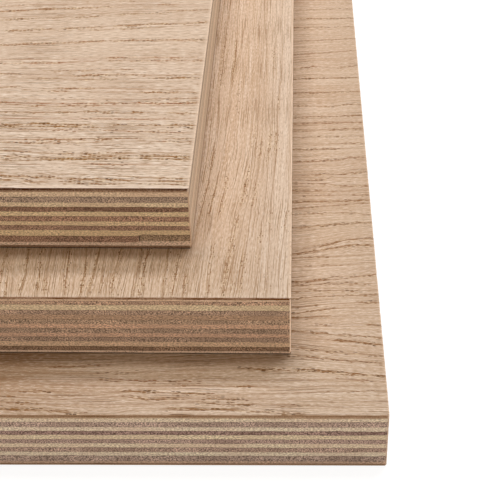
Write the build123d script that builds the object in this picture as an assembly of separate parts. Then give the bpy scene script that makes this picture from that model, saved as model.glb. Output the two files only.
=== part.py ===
# Stack of three plywood sheets, fanned to the back left so that every front and right edge shows.
# Each sheet is a face veneer, a core of crossed plies and a back veneer, glued into one board.
# The origin is the centre of the underside of the bottom sheet: X runs to the right along the
# front edge, Y to the back and Z up. Sizes are in millimetres, angles in degrees.
import os

from build123d import *

# Sheets as they are sold: square stock, all sawn to one size
sheet_length = 300.0  # along the grain of the face veneer
sheet_width = 300.0  # across the grain of the face veneer
face_veneer = 1.25
back_veneer = 0.85
corner_ease = 0.3  # upright corners, taken off with fine paper
edge_ease = 0.2  # rims of the face and the back

# Thickness of each sheet, as such boards vary about their nominal size
bottom_thickness = 17.2
middle_thickness = 18.0
top_thickness = 18.4

# Core plies from the face down, each as a share of its sheet's core
bottom_ply_shares = (1.15, 1.8, 1.25, 1.35, 1.4, 1.5, 1.3, 1.6, 1.2, 1.9, 0.75)
middle_ply_shares = (1.2, 1.6, 1.5, 1.4, 1.45, 1.3, 1.6, 1.15, 1.55, 1.45, 1.45)
top_ply_shares = (1.35, 1.8, 1.25, 1.5, 1.3, 1.65, 1.2, 1.5, 1.7, 2.0, 0.95)

# How a sheet lies on the one beneath, from front right corner to front right corner
middle_inset = 23.1  # to the left
middle_setback = 21.5  # to the back
middle_skew = -0.48
top_inset = 25.0
top_setback = 19.9
top_skew = -0.66

# Butt joint in the top sheet, where one cross ply is laid from two strips
jointed_ply = 10
joint_inset = 13.0  # from the right edge of the sheet
joint_step = 0.45  # how much higher the right strip lies than the left one
joint_ramp = 0.8  # length over which the plies around the joint follow the step


def layer_heights(thickness, ply_shares):
    """Heights of the layer boundaries from the face down to the underside."""
    core = thickness - face_veneer - back_veneer
    heights = [thickness, thickness - face_veneer]
    for share in ply_shares:
        heights.append(heights[-1] - core * share / sum(ply_shares))
    heights[-1] = back_veneer
    return heights + [0]


def boundary(height, stepped):
    """Line between two layers, from left to right, with or without the step at the butt joint."""
    left = -sheet_length / 2
    right = sheet_length / 2
    if not stepped:
        return [(left, height), (right, height)]
    joint = right - joint_inset
    low_end = (joint - joint_ramp / 2, height)
    high_end = (joint + joint_ramp / 2, height + joint_step)
    return [(left, height), low_end, high_end, (right, height + joint_step)]


def make_layer(lower, upper):
    """One layer over the whole sheet, with its upright corners eased."""
    section = make_face(Polyline(*lower, *reversed(upper), close=True))
    layer = extrude(Plane.XZ.offset(sheet_width / 2) * section, -sheet_width)
    return chamfer(layer.edges().filter_by(Axis.Z), corner_ease)


def cut_at_joint(ply):
    """Left and right strip of the jointed ply."""
    joint = sheet_length / 2 - joint_inset
    strips = split(ply, bisect_by=Plane.YZ.offset(joint), keep=Keep.BOTH).solids().sort_by(Axis.X)
    return {"left_strip": strips[0], "right_strip": strips[-1]}


def make_sheet(thickness, ply_shares, jointed):
    """All layers of a sheet by name, with the sheet's underside centred on the origin."""
    heights = layer_heights(thickness, ply_shares)
    lines = []
    for number, height in enumerate(heights):
        beside_joint = number in (jointed_ply, jointed_ply + 1)
        lines.append(boundary(height, jointed and beside_joint))

    face = make_layer(lines[1], lines[0])
    back = make_layer(lines[-1], lines[-2])
    layers = {"face_veneer": chamfer(face.faces().sort_by(Axis.Z)[-1].edges(), edge_ease)}
    for number in range(1, len(ply_shares) + 1):
        ply = make_layer(lines[number + 1], lines[number])
        name = f"ply_{number:02d}"
        if jointed and number == jointed_ply:
            for side, strip in cut_at_joint(ply).items():
                layers[f"{name}_{side}"] = strip
        else:
            layers[name] = ply
    layers["back_veneer"] = chamfer(back.faces().sort_by(Axis.Z)[0].edges(), edge_ease)
    return layers


def place_sheet(turned, skew):
    """Place of a sheet whose front right corner is at the origin, turned a quarter or not."""
    if turned:
        return Rot(0, 0, skew) * Pos(-sheet_width / 2, sheet_length / 2, 0) * Rot(0, 0, 90)
    return Rot(0, 0, skew) * Pos(-sheet_length / 2, sheet_width / 2, 0)


# Sheets from the floor up
sheets = [
    {"name": "bottom_sheet", "thickness": bottom_thickness, "ply_shares": bottom_ply_shares,
     "jointed": False, "turned": False, "inset": 0, "setback": 0, "skew": 0},
    {"name": "middle_sheet", "thickness": middle_thickness, "ply_shares": middle_ply_shares,
     "jointed": False, "turned": True, "inset": middle_inset, "setback": middle_setback,
     "skew": middle_skew},
    {"name": "top_sheet", "thickness": top_thickness, "ply_shares": top_ply_shares,
     "jointed": True, "turned": False, "inset": top_inset, "setback": top_setback,
     "skew": top_skew},
]

os.makedirs("parts", exist_ok=True)
corner = Vector(sheet_length / 2, -sheet_width / 2, 0)
for sheet in sheets:
    corner += Vector(-sheet["inset"], sheet["setback"], 0)
    place = Pos(corner) * place_sheet(sheet["turned"], sheet["skew"])
    layers = make_sheet(sheet["thickness"], sheet["ply_shares"], sheet["jointed"])
    for layer, solid in layers.items():
        export_step(place * solid, f"parts/{sheet['name']}_{layer}.step")
    corner += Vector(0, 0, sheet["thickness"])
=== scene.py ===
import math
import random
from bisect import bisect_right

import bpy
from mathutils import Matrix, Vector, noise


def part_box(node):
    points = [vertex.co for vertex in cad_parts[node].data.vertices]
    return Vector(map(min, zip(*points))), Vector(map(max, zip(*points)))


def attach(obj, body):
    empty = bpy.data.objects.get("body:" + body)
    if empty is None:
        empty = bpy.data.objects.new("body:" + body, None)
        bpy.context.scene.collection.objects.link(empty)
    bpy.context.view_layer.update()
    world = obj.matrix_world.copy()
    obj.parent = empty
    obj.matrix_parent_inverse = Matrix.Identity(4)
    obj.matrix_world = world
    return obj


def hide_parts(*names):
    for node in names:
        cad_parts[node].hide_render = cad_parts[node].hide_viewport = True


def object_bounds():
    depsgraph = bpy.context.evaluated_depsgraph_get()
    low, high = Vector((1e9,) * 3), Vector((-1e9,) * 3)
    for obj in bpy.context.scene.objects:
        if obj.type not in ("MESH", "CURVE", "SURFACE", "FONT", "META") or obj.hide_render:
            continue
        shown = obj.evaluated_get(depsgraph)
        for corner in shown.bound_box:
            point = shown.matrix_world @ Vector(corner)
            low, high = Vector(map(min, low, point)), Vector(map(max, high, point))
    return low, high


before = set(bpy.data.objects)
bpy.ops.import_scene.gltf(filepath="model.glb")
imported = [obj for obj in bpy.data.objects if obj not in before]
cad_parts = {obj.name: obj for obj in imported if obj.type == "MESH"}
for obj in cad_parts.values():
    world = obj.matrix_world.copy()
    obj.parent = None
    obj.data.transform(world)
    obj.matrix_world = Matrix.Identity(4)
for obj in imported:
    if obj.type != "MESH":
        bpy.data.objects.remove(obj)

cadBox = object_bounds()
mm = 0.001


def linear(red, green, blue):  # a colour written as it looks on a screen, 0 to 255
    return tuple((c / 255 / 12.92) if c <= 10 else ((c / 255 + 0.055) / 1.055) ** 2.4
                 for c in (red, green, blue)) + (1.0,)


def tinted(colour, share):
    return tuple(min(c * share, 252.0) for c in colour)


def smooth(low, high, value):
    share = min(max((value - low) / (high - low), 0.0), 1.0)
    return share * share * (3 - 2 * share)


def mix(a, b, share):
    return a + (b - a) * share


# node helpers

def isSocket(value):
    return isinstance(value, bpy.types.NodeSocket)


def addNode(tree, kind, inputs=None, **settings):
    node = tree.nodes.new(kind)
    for key, value in settings.items():
        setattr(node, key, value)
    for key, value in (inputs or {}).items():
        if isSocket(value):
            tree.links.new(value, node.inputs[key])
        else:
            node.inputs[key].default_value = value
    return node.outputs


def feed(kind, inputs, **settings):  # a node in the tree of the sockets that feed it
    tree = next(value.id_data for value in inputs.values() if isSocket(value))
    return addNode(tree, kind, inputs, **settings)


def calc(operation, *values):
    return feed("ShaderNodeMath", dict(enumerate(values)), operation=operation)[0]


def times(first, *others):
    for other in others:
        first = calc("MULTIPLY", first, other)
    return first


def ramp(value, low, high, start=0.0, end=1.0):  # soft step from start to end
    inputs = {0: value, 1: low, 2: high, 3: start, 4: end}
    return feed("ShaderNodeMapRange", inputs, interpolation_type="SMOOTHSTEP")[0]


def fadeOut(distance, reach, core):  # full within the core, a share of the reach, and nothing beyond it
    return ramp(distance, times(reach, core), reach, 1.0, 0.0)


def blendColours(share, under, over):
    return feed("ShaderNodeMix", {0: share, 6: under, 7: over}, data_type="RGBA")[2]


def blendTints(share, under, over):
    return blendColours(share, linear(*under), linear(*over))


def layCoats(colour, coats):  # how far each coat covers and its tint, from the lowest up
    for share, tint in coats:
        colour = blendColours(share, colour, tint if isSocket(tint) else linear(*tint))
    return colour


def joinAxes(x, y, z=0.0):
    return feed("ShaderNodeCombineXYZ", {0: x, 1: y, 2: z})[0]


def splitAxes(vector):
    return feed("ShaderNodeSeparateXYZ", {0: vector})[:3]


def scalePlace(place, scale):
    return feed("ShaderNodeVectorMath", {0: place, "Scale": scale}, operation="SCALE")[0]


def addNoise(place, detail, roughness=0.5):
    inputs = {"Vector": place, "Scale": 1.0, "Detail": detail, "Roughness": roughness}
    return feed("ShaderNodeTexNoise", inputs)[0]


def newGroup(name, inputs, outputs):  # all are plain values, apart from a place
    tree = bpy.data.node_groups.new(name, "ShaderNodeTree")
    for way, labels in (("INPUT", inputs), ("OUTPUT", outputs)):
        for label in labels:
            kind = "NodeSocketVector" if label == "Place" else "NodeSocketFloat"
            tree.interface.new_socket(label, in_out=way, socket_type=kind)
    return tree, tree.nodes.new("NodeGroupInput").outputs, tree.nodes.new("NodeGroupOutput").inputs


def useGroup(group, **inputs):
    return feed("ShaderNodeGroup", inputs, node_tree=group)


# effects that several woods share

def inMarks(given, shift=0.0):  # place along and across the grain, in lengths and widths of a mark
    return joinAxes(calc("DIVIDE", given["Along"], given["Length"]),
                    calc("DIVIDE", given["Across"], given["Width"]), shift)


def inSizes(given):  # place in sizes of a speck or patch
    return scalePlace(given["Place"], calc("DIVIDE", 1.0, given["Size"]))


def aboutZero(value):  # noise keeps between 0.25 and 0.75, which becomes -1 to 1
    return calc("MULTIPLY_ADD", value, 4.0, -2.0)


def makeFibreGroup():  # long thin streaks of the wood fibre, -1 to 1
    tree, given, out = newGroup("woodFibre", ["Along", "Across", "Length", "Width", "Shift"], ["Streak"])
    grain = addNoise(inMarks(given, given["Shift"]), detail=3.0, roughness=0.6)
    tree.links.new(aboutZero(grain), out["Streak"])
    return tree


def makePoreGroup():  # pores cut lengthwise: thin dashes, the more the higher Density is
    inputs = ["Along", "Across", "Length", "Width", "Density", "Fill"]
    tree, given, out = newGroup("woodPores", inputs, ["Mask", "Pick"])
    cells = feed("ShaderNodeTexVoronoi", {"Vector": inMarks(given), "Scale": 1.0, "Randomness": 1.0},
                 voronoi_dimensions="2D", feature="F1")
    chance, pick = splitAxes(cells["Color"])[:2]
    closed, wide = -0.04, 0.12  # how far Density has to be beyond chance
    opened = ramp(calc("SUBTRACT", given["Density"], chance), closed, wide)
    body = fadeOut(cells["Distance"], given["Fill"], core=0.55)
    tree.links.new(times(opened, body), out["Mask"])
    tree.links.new(pick, out["Pick"])
    return tree


ringWander = {  # length along the ring in mm, spread from ring to ring and shift of each kind of waver
    "sway": (13.0, 3.7, 0.0), "swayReach": 3.0, "shake": (2.6, 4.3, 3.0), "shakeReach": 0.28,
    "breaks": (11.0, 5.1, 6.0), "breakRange": (0.34, 0.5)}


def makeRingGroup():  # one thin wavering line beside a ring, broken here and there
    inputs = ["Along", "Ring", "Offset", "Shift", "Wander", "Thickness"]
    tree, given, out = newGroup("ringLine", inputs, ["Mask"])

    def chance(length, spread, shift):  # 0 to 1 along the line, in another row for each ring
        place = joinAxes(calc("DIVIDE", given["Along"], length), times(given["Ring"], spread),
                         calc("ADD", given["Shift"], shift))
        return addNoise(place, detail=1.0)

    def sideways(kind, reach):
        return times(calc("SUBTRACT", chance(*ringWander[kind]), 0.5), reach)

    sway = sideways("sway", times(given["Wander"], ringWander["swayReach"]))
    shake = sideways("shake", ringWander["shakeReach"])
    gap = calc("ABSOLUTE", calc("SUBTRACT", given["Offset"], calc("ADD", sway, shake)))
    body = fadeOut(gap, given["Thickness"], core=0.3)
    shown = ramp(chance(*ringWander["breaks"]), *ringWander["breakRange"])
    tree.links.new(times(body, shown), out["Mask"])
    return tree


def makeEndGrainGroup():  # cut ends of pores and fibres: light and dark specks, -1 to 1, and open holes
    tree, given, out = newGroup("endGrain", ["Place", "Size"], ["Speck", "Hole"])
    place = inSizes(given)
    cells = feed("ShaderNodeTexVoronoi", {"Vector": place, "Scale": 0.8}, feature="F1")
    tree.links.new(aboutZero(addNoise(place, detail=2.0, roughness=0.7)), out["Speck"])
    inside, rim = 0.12, 0.38  # of a hole, from its middle
    tree.links.new(ramp(cells["Distance"], inside, rim, 1.0, 0.0), out["Hole"])
    return tree


def makeDriftGroup():  # slow change of tone over a surface, 0 to 1
    tree, given, out = newGroup("toneDrift", ["Place", "Size"], ["Share"])
    low, high = 0.3, 0.7  # the noise hardly goes beyond them
    tree.links.new(ramp(addNoise(inSizes(given), detail=2.0), low, high), out["Share"])
    return tree


def makeGlueGroup():  # dark glue film along the upper rim of a layer
    tree, given, out = newGroup("glueLine", ["Height", "Thickness", "Film"], ["Mask"])
    gap = times(calc("SUBTRACT", 1.0, given["Height"]), given["Thickness"])
    tree.links.new(fadeOut(gap, given["Film"], core=0.2), out["Mask"])
    return tree


woodFibre = makeFibreGroup()
woodPores = makePoreGroup()
ringLine = makeRingGroup()
endGrain = makeEndGrainGroup()
toneDrift = makeDriftGroup()
glueLine = makeGlueGroup()
print("effects ready")


def newMaterial(name):
    material = bpy.data.materials.new(name)
    material.use_nodes = True
    tree = material.node_tree
    return material, tree, tree.nodes["Principled BSDF"]


def readMesh(tree, name):  # values that the mesh carries
    return addNode(tree, "ShaderNodeAttribute", attribute_name=name)


def placeInMm(tree):  # place on the part, in millimetres
    return scalePlace(addNode(tree, "ShaderNodeTexCoord")["Object"], 1000.0)


def readFacing(tree):  # which way the surface faces
    return splitAxes(addNode(tree, "ShaderNodeNewGeometry")["Normal"])


# painted sheen: surfaces that face right take a paler tint, as a side seen at a grazing angle catches the
# light
sheenFacing = (0.6, 0.8)  # how far a surface has to face right to take the tint of the right side


def addStreaks(along, across, size, shift):
    length, width = size
    return useGroup(woodFibre, Along=along, Across=across, Length=length, Width=width, Shift=shift)["Streak"]


def finishWood(tree, shader, look, colour, roughness, relief):
    tree.links.new(colour, shader.inputs["Base Color"])
    tree.links.new(roughness, shader.inputs["Roughness"])
    shader.inputs["Specular IOR Level"].default_value = look["shine"]
    inputs = {"Strength": look["bump"], "Distance": look["bumpDepth"] * mm, "Height": relief}
    tree.links.new(feed("ShaderNodeBump", inputs)[0], shader.inputs["Normal"])


# oak face of a veneer: the mesh carries where the rings lie, the material adds pores, fibre and tone

oakLook = {  # sizes are length and width of a mark in mm, tones are how far a tint covers what lies under it
    "pale": (224, 198, 174), "deep": (213, 185, 160), "driftSize": 14.0, "driftStretch": 0.2, "shift": 0.0,
    "leans": [("across", 0.0, 50.0, 0.22, (248, 228, 208))], "calm": (15.0, 70.0, 1.0, 0.7),
    "cloud": 0.1, "cloudSize": (18.0, 2.2), "cloudShift": 5.0, "cloudFull": 1.3, "cloudTint": (202, 167, 134),
    "fibre": 0.85, "fibreSize": (30.0, 0.28), "fibreFull": 0.9, "fibreTint": (168, 136, 105),
    "gleam": 0.75, "gleamTint": (248, 232, 216),
    "nap": 0.95, "napSize": (2.6, 0.3), "napShift": 9.0, "napFull": 0.8, "napTint": (158, 126, 95),
    "bandCore": 0.2, "bandWidth": 1.2, "wander": 0.22, "wanderSize": (6.0, 2.0), "wanderShift": 3.0,
    "bandTone": 0.15, "bandTint": (198, 156, 104),
    "hairs": 0.4, "hairSize": (26.0, 0.34), "hairFill": 0.3, "hairTone": 1.5, "hairTint": (122, 86, 50),
    "lineWidth": 0.25, "lineReach": 1.0, "lineStretch": 1.6, "lineRest": 0.5, "lineFull": 0.9,
    "lines": [(0.0, 0.3, 1.0), (10.0, 0.55, 0.8), (20.0, 0.9, 0.6)],  # shift, reach and weight
    "poreGain": 1.0, "poreRest": 0.03, "poreSize": (1.1, 0.28), "poreFill": 0.62,
    "poreShades": (0.3, 0.9),
    "patchSize": (5.0, 1.0), "patchShift": 2.0, "patchRange": (-0.6, 0.6), "patchLeast": 0.35,
    "specks": 0.6, "speckShift": 50.0, "speckFill": 0.6, "speckTone": 0.6, "speckTint": (250, 228, 194),
    "olive": (142, 95, 22), "russet": (156, 90, 40), "umber": (76, 43, 15),
    # the first tint on the next line is a painted highlight along the front arris
    "arrisHighlightTone": 0.5, "arrisHighlightTint": (250, 228, 208), "rubbed": 0.6, "rimTint": (142, 90, 48),
    "bareFrom": 0.5, "roughness": 0.6, "poreRoughness": 0.2, "napRelief": 0.15, "shine": 0.06,
    "bump": 0.4, "bumpDepth": 0.12}


def makeOakFace(name, look):
    material, tree, shader = newMaterial(name)
    along, across, ring = splitAxes(readMesh(tree, "grainPlace")["Vector"])
    streak, tone, spacing = splitAxes(readMesh(tree, "grainLook")["Vector"])
    arrisHighlight, rubbed, bare = splitAxes(readMesh(tree, "rimWearAndHighlight")["Vector"])
    offset = times(calc("SUBTRACT", calc("FRACT", ring), 0.5), spacing)  # mm from the ring line
    calm = ramp(across, *look["calm"])  # how strong the fine figure is
    shift = look["shift"]  # each kind of streak has a shift of its own, so that none lies on another

    def streaks(kind, shift):
        return addStreaks(along, across, look[kind + "Size"], shift)

    def dashes(start, kind, density, fill):
        length, width = look[kind + "Size"]
        return useGroup(woodPores, Along=start, Across=across, Length=length, Width=width,
                        Density=density, Fill=fill)

    wander = streaks("wander", look["wanderShift"])
    fromLine = calc("ABSOLUTE", calc("MULTIPLY_ADD", wander, look["wander"], offset))
    early = times(ramp(fromLine, look["bandCore"], look["bandWidth"], 1.0, 0.0), streak)

    # ground of the wood, with tones that fade away from one side
    slowPlace = joinAxes(times(along, look["driftStretch"]), across)
    drift = useGroup(toneDrift, Place=slowPlace, Size=look["driftSize"])["Share"]
    coats = [(ramp({"along": along, "across": across}[way], near, far, share, 0.0), tint)
             for way, near, far, share, tint in look["leans"]]
    cloud = streaks("cloud", shift + look["cloudShift"])
    coats.append((ramp(cloud, 0.0, look["cloudFull"], 0.0, look["cloud"]), look["cloudTint"]))
    fibre = streaks("fibre", shift)
    nap = streaks("nap", shift + look["napShift"])
    for marks, full, strength, tint in (
            (fibre, look["fibreFull"], "fibre", "fibreTint"),
            (fibre, -look["fibreFull"], "gleam", "gleamTint"),
            (nap, look["napFull"], "nap", "napTint"),
            (nap, -look["napFull"], "nap", "gleamTint")):
        coats.append((ramp(marks, 0.0, full, 0.0, times(calm, look[strength])), look[tint]))
    coats.append((times(early, look["bandTone"]), look["bandTint"]))

    # fine dark hairs between the rings
    hairs = dashes(along, "hair", look["hairs"], look["hairFill"])
    coats.append((times(hairs["Mask"], times(hairs["Pick"], calm, look["hairTone"])), look["hairTint"]))

    # thin lines that follow each ring, then the small pores and pale specks that crowd around them
    lines = None
    number = calc("FLOOR", ring)
    lineAlong = calc("DIVIDE", along, look["lineStretch"])
    for lineShift, reach, weight in look["lines"]:
        line = useGroup(ringLine, Along=lineAlong, Ring=number, Offset=offset, Shift=lineShift,
                        Wander=reach * look["lineReach"], Thickness=look["lineWidth"])["Mask"]
        line = times(line, weight)
        lines = line if lines is None else calc("MAXIMUM", lines, line)
    lines = times(lines, calm, ramp(streak, 0.0, look["lineFull"], look["lineRest"]))
    patch = streaks("patch", shift + look["patchShift"])
    crowd = times(early, ramp(patch, *look["patchRange"], look["patchLeast"]))
    density = calc("MULTIPLY_ADD", crowd, look["poreGain"], look["poreRest"])
    pores = dashes(along, "pore", density, look["poreFill"])
    openPores = times(pores["Mask"], calm)
    apart = calc("ADD", along, look["speckShift"])
    specks = dashes(apart, "pore", times(crowd, look["specks"]), look["speckFill"])
    shade = blendTints(tone, look["olive"], look["russet"])
    deep = layCoats(shade, [(ramp(pores["Pick"], *look["poreShades"]), look["umber"])])
    coats.append((lines, shade))
    coats.append((times(specks["Mask"], look["speckTone"]), look["speckTint"]))
    coats.append((openPores, deep))

    # rims: a painted highlight along the front arris, then rubbed sides and bare wood
    coats.append((times(rubbed, look["rubbed"]), look["pale"]))
    # painted highlight: paler near the front edge, where the arris catches the light
    coats.append((times(arrisHighlight, look["arrisHighlightTone"]), look["arrisHighlightTint"]))
    coats.append((ramp(bare, look["bareFrom"], 1.0), look["rimTint"]))
    colour = layCoats(blendTints(drift, look["pale"], look["deep"]), coats)
    roughness = calc("MULTIPLY_ADD", pores["Mask"], look["poreRoughness"], look["roughness"])
    sunk = times(calc("MAXIMUM", openPores, lines), -1.0)
    finishWood(tree, shader, look, colour, roughness, calc("MULTIPLY_ADD", nap, look["napRelief"], sunk))
    return material


# sawn edge of a veneer: dark right under the face, the veneer's own colour with painted shade under the
# face's rim, paler towards the glue; at the foot of the top and middle backs it is painted shadow of the gap
# where the sheet rests

veneerEdgeLook = {
    # the side tint is a painted sheen on faces that face right; the pale specks share it
    "pale": (190, 154, 120), "deep": (146, 112, 84), "side": (222, 196, 172), "sideSheenTone": 0.8,
    "streakSize": (6.0, 0.3), "streakShift": 1.0, "streakRange": (-0.9, 0.9), "driftSize": 13.0,
    "darkAndShade": (70, 34, 10), "darkAndShadeFrom": 0.1, "darkAndShadeTo": 0.7, "darkAndShadeLeast": 0.65, "darkAndShadeMost": 1.0,
    "speckSize": 0.4, "speckFull": 0.8, "darkSpecks": 0.6, "paleSpecks": 0.2, "roughness": (0.65, 0.85),
    "shine": 0.04, "bump": 0.3, "bumpDepth": 0.08}


def makeVeneerEdge(name, look):
    material, tree, shader = newMaterial(name)
    place = placeInMm(tree)
    x, y, z = splitAxes(place)
    drift = useGroup(toneDrift, Place=joinAxes(x, y), Size=look["driftSize"])["Share"]
    speck = useGroup(endGrain, Place=place, Size=look["speckSize"])["Speck"]
    streak = addStreaks(calc("ADD", x, y), z, look["streakSize"], look["streakShift"])
    # dark band: under a face, its own colour with painted shade; at the foot of the top and middle backs,
    # painted shadow of the gap
    darkAndShade = times(ramp(readMesh(tree, "layerHeight")["Fac"], look["darkAndShadeFrom"], look["darkAndShadeTo"]),
                  ramp(drift, 0.0, 1.0, look["darkAndShadeLeast"], look["darkAndShadeMost"]))
    colour = layCoats(blendTints(ramp(streak, *look["streakRange"]), look["pale"], look["deep"]), [
        (darkAndShade, look["darkAndShade"]),
        # painted sheen on the right faces
        (ramp(readFacing(tree)[0], *sheenFacing, 0.0, look["sideSheenTone"]), look["side"]),
        (ramp(speck, 0.0, look["speckFull"], 0.0, look["darkSpecks"]), look["darkAndShade"]),
        (ramp(speck, 0.0, -look["speckFull"], 0.0, look["paleSpecks"]), look["side"])])
    finishWood(tree, shader, look, colour, ramp(speck, -1.0, 1.0, *look["roughness"]), speck)
    return material


# core ply: smooth streaks where the saw ran along its grain, specks where it cut across

plyLook = {  # tints of streaks, drift and holes are shares of the ply's own tint
    "streakSize": (0.55, 0.32), "streakRange": (-0.7, 0.7), "streakTints": (1.22, 0.74),
    "cutEnd": (0.5, 0.8), "speckSize": 0.3, "speckRange": (-0.6, 0.6), "speckle": 0.42, "stripSpeckle": 0.3,
    "greyStep": 140.0, "holeTone": 0.5, "holeTint": 0.5, "driftSize": 11.0, "driftTone": 0.5,
    "longDrift": 0.93, "endDrift": 0.8, "endOfLong": 0.82, "longOfEnd": 1.2, "plyShift": 37.0,
    # the side tint is a painted sheen on faces that face right
    "sheetShift": 11.0, "side": (198, 173, 148), "sideSheenTone": 0.85, "film": 0.3, "filmWaver": 0.12,
    "glue": 0.45, "glueTint": (92, 64, 44), "longRelief": 0.25, "roughness": (0.68, 0.88), "shine": 0.04,
    "bump": 0.35, "bumpDepth": 0.08}


def makePlyWood(name, look):
    material, tree, shader = newMaterial(name)
    x, y, z = splitAxes(placeInMm(tree))
    byX = look["grain"] == "x"
    along, across = (x, y) if byX else (y, x)
    facing = readFacing(tree)
    cutEnd = ramp(calc("ABSOLUTE", facing[0 if byX else 1]), *look["cutEnd"])
    shifted = joinAxes(calc("ADD", x, look["shift"]), calc("ADD", y, look["shift"]), z)
    drift = useGroup(toneDrift, Place=shifted, Size=look["driftSize"])["Share"]
    drift = times(drift, look["driftTone"])
    grains = useGroup(endGrain, Place=shifted, Size=look["speckSize"])
    speck = grains["Speck"]
    streak = addStreaks(along, calc("ADD", z, across), look["streakSize"], look["shift"])

    light, dark = (tinted(look["long"], share) for share in look["streakTints"])
    longTint = blendTints(ramp(streak, *look["streakRange"]), light, dark)
    longTint = layCoats(longTint, [(drift, tinted(look["long"], look["longDrift"]))])

    end, speckle = look["end"], look["speckle"]
    lit = [mix(c * (1.0 + speckle), c + look["greyStep"] * speckle, look["greyness"]) for c in end]
    endTint = blendTints(ramp(speck, *look["speckRange"]), tinted(lit, 1.0), tinted(end, 1.0 - speckle))
    endTint = layCoats(endTint, [(times(grains["Hole"], look["holeTone"]), tinted(end, look["holeTint"])),
                                 (drift, tinted(end, look["endDrift"]))])

    film = useGroup(glueLine, Height=readMesh(tree, "layerHeight")["Fac"], Thickness=look["thickness"],
                    Film=calc("MULTIPLY_ADD", streak, look["filmWaver"], look["film"]))["Mask"]
    colour = layCoats(longTint, [
        (cutEnd, endTint),
        # painted sheen: the right faces take a paler tint, with a share of it for each ply
        (ramp(facing[0], *sheenFacing, 0.0, look["sideSheenTone"]), tinted(look["side"], look["sideSheenShare"])),
        (times(film, look["glue"]), look["glueTint"])])
    depth = calc("MULTIPLY_ADD", cutEnd, 1.0 - look["longRelief"], look["longRelief"])
    roughness = ramp(speck, -1.0, 1.0, *look["roughness"])
    finishWood(tree, shader, look, colour, roughness, times(speck, depth))
    return material


sandedLook = {"speckSize": 0.5, "roughness": (0.7, 0.9), "shine": 0.1, "bump": 0.2, "bumpDepth": 0.05}


# the pale corners are sanded fuzz with a painted highlight, as a corner catches the light
def makeSandedHighlight(name, pale, deep):  # fuzz where fine paper took the corners off
    material, tree, shader = newMaterial(name)
    speck = useGroup(endGrain, Place=placeInMm(tree), Size=sandedLook["speckSize"])["Speck"]
    colour = blendTints(ramp(speck, -1.0, 1.0), pale, deep)
    finishWood(tree, shader, sandedLook, colour, ramp(speck, -1.0, 1.0, *sandedLook["roughness"]), speck)
    return material


# shape of a sheet, read from the frame

layerNames = ["face_veneer"] + ["ply_%02d" % number for number in range(1, 12)] + ["back_veneer"]
butt = {"ply": 10, "inset": 13.0, "rise": 0.45, "ramp": 0.8, "slit": 0.25}  # two strips in the top sheet, mm
layerWaver = [(0.12, 9, 11.3), (0.09, 1.9, 5.7)]  # height and length of a wave in mm, step from line to line


def readSheet(name, jointed):
    spots = {(round(v.co.x, 5), round(v.co.y, 5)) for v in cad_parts[name + "_ply_01"].data.vertices}
    middle = Vector((sum(s[0] for s in spots), sum(s[1] for s in spots))) / len(spots)
    ring = sorted((Vector(s) for s in spots), key=lambda s: math.atan2(s.y - middle.y, s.x - middle.x))
    sides = [(ring[i], ring[(i + 1) % len(ring)]) for i in range(len(ring))]
    longSides = [side for side in sides if (side[1] - side[0]).length > 0.1]  # all but the eased corners
    left, right = min(longSides, key=lambda side: (side[0].y + side[1].y))  # front edge
    alongFront = (right - left).normalized()
    back = Vector((-alongFront.y, alongFront.x))
    ease = min((side[1] - side[0]).length for side in sides) / math.sqrt(2)
    deep = max((side[1] - side[0]).length for side in longSides) + 2 * ease
    heights = [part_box(name + "_face_veneer")[1][2]]
    for layer in layerNames:
        strip = layer + "_left_strip" if jointed and layer == "ply_%02d" % butt["ply"] else layer
        heights.append(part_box(name + "_" + strip)[0][2])
    return {"name": name, "corner": right + alongFront * ease, "right": alongFront, "back": back,
            "ease": ease / mm, "length": ((right - left).length + 2 * ease) / mm, "depth": deep / mm,
            "jointed": jointed, "heights": heights}


def toPart(sheet, x, y, z):  # x, y in mm from the front right corner, z in metres
    spot = sheet["corner"] + sheet["right"] * (x * mm) + sheet["back"] * (y * mm)
    return (spot.x, spot.y, z)


def lineHeight(sheet, line, x, y):  # height of the line between two layers, which wanders a little
    z = sheet["heights"][line]
    if 0 < line < len(layerNames):
        z += mm * sum(high * noise.noise(Vector((x / size, y / size, line * step)))
                      for high, size, step in layerWaver)
    if sheet["jointed"] and line in (butt["ply"], butt["ply"] + 1):
        z += butt["rise"] * mm * smooth(-butt["ramp"] / 2, butt["ramp"] / 2, x + butt["inset"])
    return z


# perimeter of a layer as points with their outward directions

def steps(start, end, pitch):
    count = max(1, round(abs(end - start) / pitch))
    return [mix(start, end, i / count) for i in range(count)]


def walkOutline(corners, pitch):  # corners anticlockwise, in mm
    path = []
    for i, start in enumerate(corners):
        end = corners[(i + 1) % len(corners)]
        span = (end - start).length
        out = Vector(((end - start).y, -(end - start).x)).normalized()
        eased = span < 1.0  # only the corners are that short
        for part in ([0.0] if eased else steps(0.0, 1.0, pitch / span)):
            path.append((start + (end - start) * part, out, eased))
    return path


def sheetCorners(sheet, fromX=None, toX=None):
    length, depth, ease = sheet["length"], sheet["depth"], sheet["ease"]
    if toX is None:
        right = [(-ease, 0), (0, ease), (0, depth - ease), (-ease, depth)]
    else:
        right = [(toX, 0), (toX, depth)]
    if fromX is None:
        left = [(-length + ease, depth), (-length, depth - ease), (-length, ease), (-length + ease, 0)]
    else:
        left = [(fromX, depth), (fromX, 0)]
    return [Vector(c) for c in right + left]


def newPiece(name, spots, faces, materials, slots):
    mesh = bpy.data.meshes.new(name)
    mesh.from_pydata(spots, [], faces)
    for material in materials:
        mesh.materials.append(material)
    mesh.polygons.foreach_set("material_index", slots)
    mesh.validate()
    piece = bpy.data.objects.new(name, mesh)
    bpy.context.collection.objects.link(piece)
    return piece


# map for a baked copy: what shows gets the room, which is the edge of a ply and the face of a veneer

def inBox(box, across, up):
    return mix(box[0], box[2], across), mix(box[1], box[3], up)


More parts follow.
